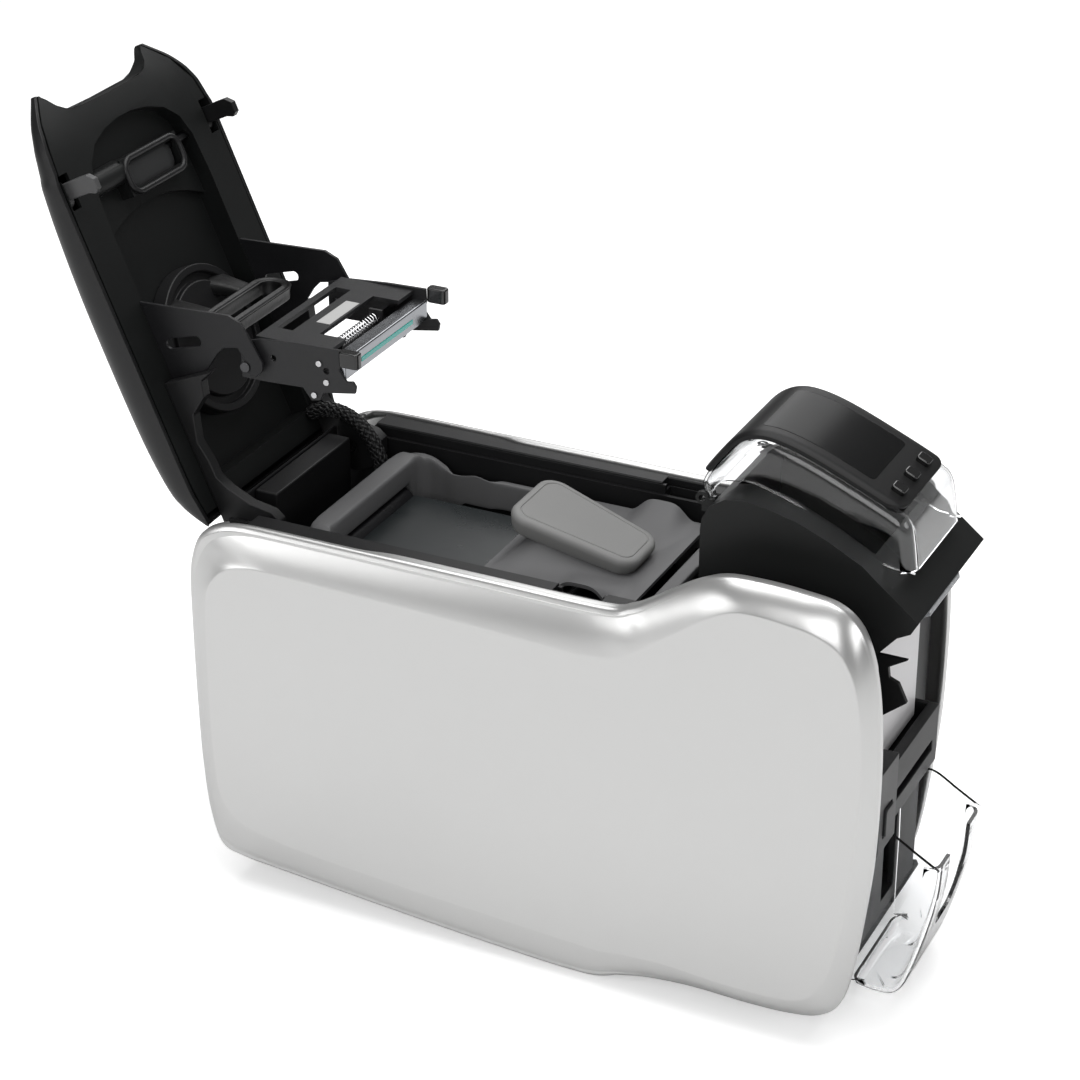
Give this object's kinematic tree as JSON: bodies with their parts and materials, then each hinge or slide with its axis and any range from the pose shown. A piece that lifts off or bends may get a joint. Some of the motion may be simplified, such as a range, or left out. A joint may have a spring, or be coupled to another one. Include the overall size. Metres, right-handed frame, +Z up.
{
  "type": "desktop id card printer",
  "caption": "Desktop card printer with its hinged lid open: print head, latch, lift-out ribbon cartridge, rollers, card hopper with display cover, output bin.",
  "frame": {"origin": "centre of the box, on the surface that the feet stand on", "axes": "+X towards the output bin at the front, +Y across to the far side, +Z up"},
  "size_m": [0.4454, 0.158, 0.3769],
  "materials": {
    "panel_silver": "satin silver paint",
    "shell_black": "fine satin black",
    "chassis_black": "black powder coat",
    "plate_dark": "dark grey powder coat",
    "rubber_black": "soft matt black",
    "loop_rubber": "soft dark grey",
    "frame_grey": "matt mid grey",
    "handle_grey": "matt light grey",
    "film_dark": "thin dark ribbon film",
    "steel": "bright steel",
    "hook_grey": "satin grey",
    "bar_steel": "ground steel",
    "strip_teal": "glossy teal glaze",
    "knob_black": "glossy black",
    "label_white": "blank white label",
    "base_black": "dark satin black",
    "cover_clear": "smoky clear plastic",
    "display_bezel": "dark grey",
    "screen_black": "dark display window",
    "button_black": "glossy black",
    "guide_white": "plain white",
    "panel_grey": "dark grey",
    "strip_clear": "translucent light strip",
    "bin_clear": "clear plastic",
    "board_green": "circuit board",
    "motor_steel": "zinc plated can",
    "gear_white": "natural white nylon",
    "harness_black": "braided sleeve"
  },
  "bodies": {
    "chassis": {"side_panel_near": "panel_silver", "side_panel_far": "panel_silver", "floor_tray": "shell_black", "chassis_wall_near": "chassis_black", "chassis_wall_far": "chassis_black", "rim_trim_near": "shell_black", "rim_trim_far": "shell_black", "rear_cover": "shell_black", "rear_housing": "shell_black", "feet": "rubber_black", "front_plate": "shell_black", "hopper_base": "base_black", "card_guide": "guide_white", "slot_bezel": "shell_black", "power_panel": "panel_grey", "light_strip": "strip_clear", "main_board": "board_green", "drive_motor": "motor_steel", "power_inlet": "shell_black", "data_port": "steel", "chassis_screws": "steel", "hinge_pins": "steel", "output_ramp": "shell_black", "wire_harness": "harness_black"},
    "lid": {"lid_shell": "shell_black", "lid_liner": "shell_black", "lid_arm_near": "shell_black", "lid_arm_far": "shell_black", "lid_spool_cover": "shell_black", "head_bracket_near": "plate_dark", "head_bracket_far": "plate_dark", "cable_loop": "loop_rubber", "head_pivot_pins": "steel"},
    "latch": {"latch_hooks": "hook_grey", "latch_shaft": "steel"},
    "head": {"head_plate_near": "plate_dark", "head_plate_far": "plate_dark", "head_bridge": "plate_dark", "head_bar": "bar_steel", "print_strip": "strip_teal", "head_spring": "steel", "head_knobs": "knob_black", "head_screws": "steel", "head_label": "label_white"},
    "cartridge": {"cartridge_frame": "frame_grey", "cartridge_handle": "handle_grey", "ribbon_film": "film_dark"},
    "full_roll": {"full_spool": "film_dark"},
    "used_roll": {"used_spool": "film_dark"},
    "platen": {"platen_roller": "rubber_black"},
    "feed": {"feed_roller": "rubber_black"},
    "pinion": {"motor_pinion": "gear_white"},
    "cover": {"hopper_cover": "cover_clear", "display_bezel": "display_bezel", "display_screen": "screen_black"},
    "button_near": {"menu_button_near": "button_black"},
    "button_middle": {"menu_button_middle": "button_black"},
    "button_far": {"menu_button_far": "button_black"},
    "power": {"power_button": "panel_grey"},
    "bin": {"output_bin": "bin_clear"}
  },
  "joints": [
    {"name": "lid_hinge", "type": "hinge", "parent": "chassis", "child": "lid", "pos_m": [-0.11326, 0, 0.1864], "axis": [0, 1, 0], "range_deg": [0, 113.4], "deforming": ["wire_harness", "ribbon_film"]},
    {"name": "latch_turn", "type": "hinge", "parent": "lid", "child": "latch", "pos_m": [-0.19684, 0, 0.33547], "axis": [0, 1, 0], "range_deg": [0, 8], "stiffness_Nm_per_rad": 0.05, "springref_deg": -11.46},
    {"name": "head_tilt", "type": "hinge", "parent": "lid", "child": "head", "pos_m": [-0.1149, 0, 0.26447], "axis": [0, 1, 0], "range_deg": [-5, 0]},
    {"name": "cartridge_lift", "type": "slide", "parent": "chassis", "child": "cartridge", "axis": [0, 0, -1], "range_m": [-0.055, 0]},
    {"name": "full_roll_spin", "type": "hinge", "parent": "cartridge", "child": "full_roll", "pos_m": [0.04974, 0, 0.1624], "axis": [0, 1, 0], "continuous": true},
    {"name": "used_roll_spin", "type": "hinge", "parent": "cartridge", "child": "used_roll", "pos_m": [-0.08226, 0, 0.1653], "axis": [0, 1, 0], "continuous": true},
    {"name": "platen_spin", "type": "hinge", "parent": "chassis", "child": "platen", "pos_m": [-0.05853, 0, 0.10371], "axis": [0, 1, 0], "continuous": true},
    {"name": "feed_spin", "type": "hinge", "parent": "chassis", "child": "feed", "pos_m": [-0.02253, 0, 0.10371], "axis": [0, 1, 0], "continuous": true},
    {"name": "motor_spin", "type": "hinge", "parent": "chassis", "child": "pinion", "pos_m": [-0.04053, 0, 0.10371], "axis": [0, 1, 0], "continuous": true},
    {"name": "hopper_cover_hinge", "type": "hinge", "parent": "chassis", "child": "cover", "pos_m": [0.10674, 0, 0.2414], "axis": [0, -1, 0], "range_deg": [0, 50]},
    {"name": "menu_press_near", "type": "slide", "parent": "cover", "child": "button_near", "axis": [-0.4237, 0, -0.9058], "range_m": [0, 0.0006], "stiffness_N_per_m": 400, "springref_m": -0.0002},
    {"name": "menu_press_middle", "type": "slide", "parent": "cover", "child": "button_middle", "axis": [-0.4237, 0, -0.9058], "range_m": [0, 0.0006], "stiffness_N_per_m": 400, "springref_m": -0.0002},
    {"name": "menu_press_far", "type": "slide", "parent": "cover", "child": "button_far", "axis": [-0.4237, 0, -0.9058], "range_m": [0, 0.0006], "stiffness_N_per_m": 400, "springref_m": -0.0002},
    {"name": "power_press", "type": "slide", "parent": "chassis", "child": "power", "axis": [-1, 0, 0], "range_m": [0, 0.0009], "stiffness_N_per_m": 400, "springref_m": -0.0002},
    {"name": "bin_slide", "type": "slide", "parent": "chassis", "child": "bin", "axis": [1, 0, 0], "range_m": [0, 0.04]}
  ],
  "couplings": [
    {"joint": "motor_spin", "follows": "platen_spin", "ratio": -2},
    {"joint": "feed_spin", "follows": "platen_spin", "ratio": 1}
  ]
}
